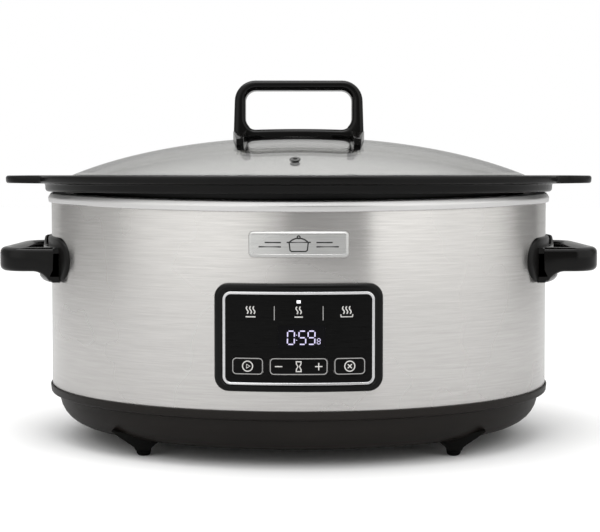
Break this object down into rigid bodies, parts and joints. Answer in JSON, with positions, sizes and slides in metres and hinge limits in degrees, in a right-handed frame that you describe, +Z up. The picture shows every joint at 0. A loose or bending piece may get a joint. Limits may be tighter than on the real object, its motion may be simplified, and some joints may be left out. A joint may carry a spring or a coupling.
{
  "type": "slow cooker",
  "caption": "Oval countertop slow cooker with a steel-wrapped heating base, front control panel, lift-out cast pot with carrying tabs, and a domed glass lid.",
  "frame": {"origin": "on the worktop under the centre of the cooker, at the bottom of the feet", "axes": "+Z up, front with the control panel towards -Y, long axis of the oval along X"},
  "size_m": [0.4328, 0.2982, 0.2637],
  "materials": {
    "base_plastic": "dark brown-black moulded, fine satin grain",
    "foot_rubber": "matt black rubber",
    "post_aluminium": "turned",
    "zinc_screw": "zinc plated",
    "gland_rubber": "matt black",
    "brushed_wrap": "brushed round the wrap, fine horizontal grain",
    "satin_rim": "satin",
    "well_steel": "plain pressed",
    "heater_sleeve": "woven insulating sleeve",
    "zinc_strap": "zinc plated spring strip",
    "shield_aluminium": "bright rolled",
    "sensor_body": "ceramic white",
    "fuse_body": "plain",
    "circuit_board": "green solder resist",
    "relay_case": "moulded blue",
    "capacitor_case": "moulded yellow",
    "terminal_plastic": "moulded ivory",
    "switch_plastic": "moulded black",
    "display_plastic": "dark moulded case",
    "window_plastic": "smoked, polished",
    "light_pipe": "clear moulded, frosted face",
    "bezel_gloss": "black gloss",
    "bright_trim": "bright satin",
    "fascia_black": "black with fine horizontal brushing under a clear coat",
    "key_black": "as the fascia, with a thin grey outline",
    "badge_chrome": "brushed face with polished bevel",
    "handle_gloss": "black gloss",
    "plate_plastic": "black satin",
    "pot_coating": "cast, under a black semi-gloss non-stick coating",
    "lid_glass": "clear tempered, polished",
    "washer_silicone": "soft matt",
    "eyelet_steel": "plain pressed"
  },
  "bodies": {
    "housing": {"base_tub": "base_plastic", "foot_front_left": "base_plastic", "foot_front_right": "base_plastic", "foot_rear_left": "base_plastic", "foot_rear_right": "base_plastic", "foot_tips": "foot_rubber", "standoff_posts": "post_aluminium", "base_screws": "zinc_screw", "cord_gland": "gland_rubber", "outer_shell": "brushed_wrap", "rim_ring": "satin_rim", "well_liner": "well_steel", "heating_band": "heater_sleeve", "heater_strap": "zinc_strap", "heat_shield": "shield_aluminium", "temperature_sensor": "sensor_body", "thermal_fuse": "fuse_body", "power_board": "circuit_board", "power_relay": "relay_case", "filter_capacitor": "capacitor_case", "terminal_block": "terminal_plastic", "display_board": "circuit_board", "key_switches": "switch_plastic", "display_module": "display_plastic", "display_window": "window_plastic", "start_light": "light_pipe", "control_bezel": "bezel_gloss", "control_trim": "bright_trim", "control_fascia": "fascia_black", "badge": "badge_chrome", "badge_clips": "zinc_strap", "handle_left": "handle_gloss", "handle_right": "handle_gloss", "handle_plate_left": "plate_plastic", "handle_plate_right": "plate_plastic", "handle_screws": "zinc_screw"},
    "pot": {"cooking_pot": "pot_coating"},
    "lid": {"lid_glass": "lid_glass", "lid_handle": "handle_gloss", "lid_screws": "zinc_screw", "lid_washers": "washer_silicone", "vent_eyelet": "eyelet_steel"},
    "start_button": {"start_key": "key_black"},
    "timer_button": {"timer_key": "key_black"},
    "stop_button": {"stop_key": "key_black"}
  },
  "joints": [
    {"name": "pot_lift", "type": "slide", "parent": "housing", "child": "pot", "axis": [0, 0, 1], "range_m": [0, 0.16]},
    {"name": "lid_lift", "type": "slide", "parent": "pot", "child": "lid", "axis": [0, 0, 1], "range_m": [0, 0.1]},
    {"name": "start_key_press", "type": "slide", "parent": "housing", "child": "start_button", "axis": [0, 1, 0], "range_m": [0, 0.0006], "stiffness_N_per_m": 2500},
    {"name": "timer_key_rock", "type": "hinge", "parent": "housing", "child": "timer_button", "pos_m": [0, -0.1381, 0.0694], "axis": [0, 0, 1], "range_deg": [-1, 1], "stiffness_Nm_per_rad": 0.5},
    {"name": "stop_key_press", "type": "slide", "parent": "housing", "child": "stop_button", "axis": [0, 1, 0], "range_m": [0, 0.0006], "stiffness_N_per_m": 2500}
  ]
}
